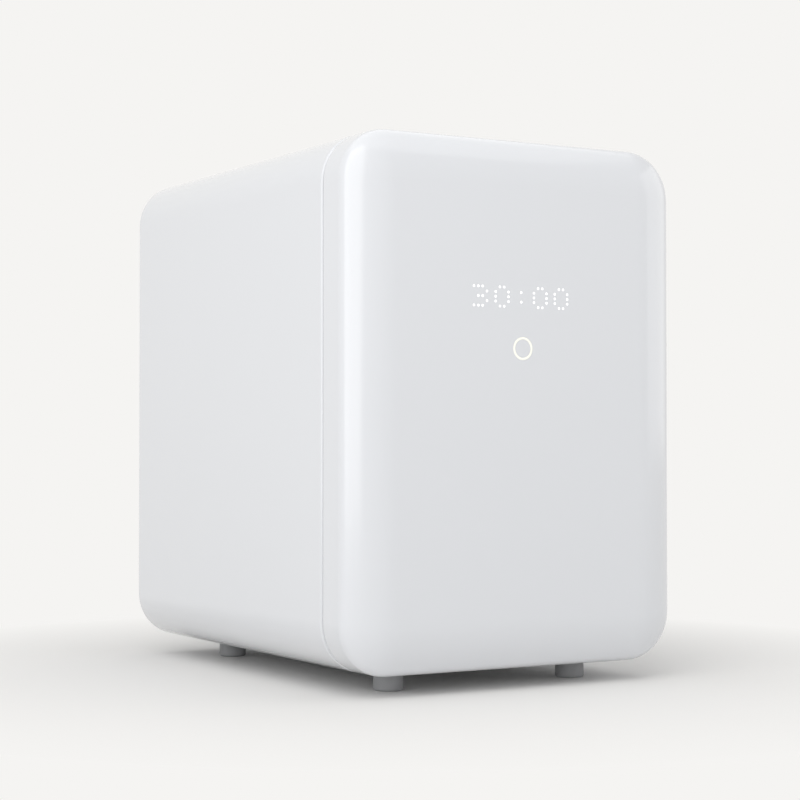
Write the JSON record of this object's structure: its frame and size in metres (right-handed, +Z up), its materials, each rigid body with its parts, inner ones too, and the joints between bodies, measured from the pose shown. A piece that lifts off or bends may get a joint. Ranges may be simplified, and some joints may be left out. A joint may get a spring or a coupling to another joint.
{
  "type": "baby bottle sterilizer",
  "caption": "White countertop cabinet with a thick rolled-edge front door that swings open on a polished chamber with wire racks, lamps that sterilise and warm air that dries.",
  "frame": {"origin": "on the table, under the middle of the cabinet's overall box", "axes": "+X to the right of someone who faces the door, +Y from the door to the back, +Z up"},
  "size_m": [0.284, 0.3741, 0.4],
  "materials": {
    "white_gloss": "smooth gloss",
    "white_satin": "satin",
    "panel_grey": "fine matte texture",
    "chamber_steel": "polished",
    "mirror_steel": "mirror polished",
    "rack_wire": "bright plated",
    "bracket_steel": "zinc plated",
    "screw_steel": "zinc plated",
    "lamp_glass": "clear polished",
    "lamp_board": "white solder mask",
    "green_board": "solder mask",
    "heat_sink": "raw extrusion",
    "black_plastic": "satin",
    "duct_plastic": "matte",
    "copper_winding": "enamelled winding",
    "pin_brass": "bright",
    "foot_rubber": "matte",
    "seal_silicone": "satin silicone",
    "filter_felt": "pleated felt",
    "milky_plastic": "milky translucent",
    "ring_light": "milky, lit",
    "magnet": "nickel plated"
  },
  "bodies": {
    "cabinet": {"body_shell": "white_gloss", "front_frame": "white_satin", "frame_screws": "screw_steel", "grip_cup": "white_gloss", "feet": "foot_rubber", "strike_plates": "bracket_steel", "door_sensor": "black_plastic", "hinge_arms": "bracket_steel", "hinge_screws": "screw_steel", "chamber_liner": "chamber_steel", "chamber_flange": "chamber_steel", "chamber_back": "chamber_steel", "rack_rails": "chamber_steel", "liner_supports": "bracket_steel", "lower_rack": "rack_wire", "upper_rack": "rack_wire", "roof_lamp_window": "lamp_glass", "roof_lamp_board": "lamp_board", "roof_lamp_sink": "heat_sink", "floor_lamp_window": "lamp_glass", "floor_lamp_board": "lamp_board", "floor_lamp_sink": "heat_sink", "air_guard": "chamber_steel", "guard_screws": "screw_steel", "heater_duct": "duct_plastic", "heater_core": "heat_sink", "fan_frame": "black_plastic", "fan_motor": "copper_winding", "fan_screws": "screw_steel", "rear_panel": "panel_grey", "panel_screws": "screw_steel", "power_inlet": "black_plastic", "inlet_pins": "pin_brass", "power_board": "green_board", "control_board": "green_board", "board_posts": "panel_grey"},
    "door": {"door_shell": "white_gloss", "door_liner": "white_satin", "door_screws": "screw_steel", "door_gasket": "seal_silicone", "door_reflector": "mirror_steel", "door_magnets": "magnet", "hinge_forks": "white_satin", "hinge_pins": "bracket_steel", "display_diffuser": "milky_plastic", "display_board": "green_board", "display_posts": "white_satin", "touch_ring": "ring_light", "touch_board": "green_board"},
    "fan": {"fan_rotor": "black_plastic", "fan_shaft": "bracket_steel"},
    "filter": {"filter_cover": "panel_grey", "air_filter": "filter_felt"}
  },
  "joints": [
    {"name": "door_hinge", "type": "hinge", "parent": "cabinet", "child": "door", "pos_m": [-0.135, -0.156, 0.2075], "axis": [0, 0, -1], "range_deg": [0, 95]},
    {"name": "fan_spin", "type": "hinge", "parent": "cabinet", "child": "fan", "pos_m": [0, 0.142, 0.2075], "axis": [0, 1, 0], "continuous": true},
    {"name": "filter_pull", "type": "slide", "parent": "cabinet", "child": "filter", "axis": [0, 1, 0], "range_m": [0, 0.06]}
  ]
}
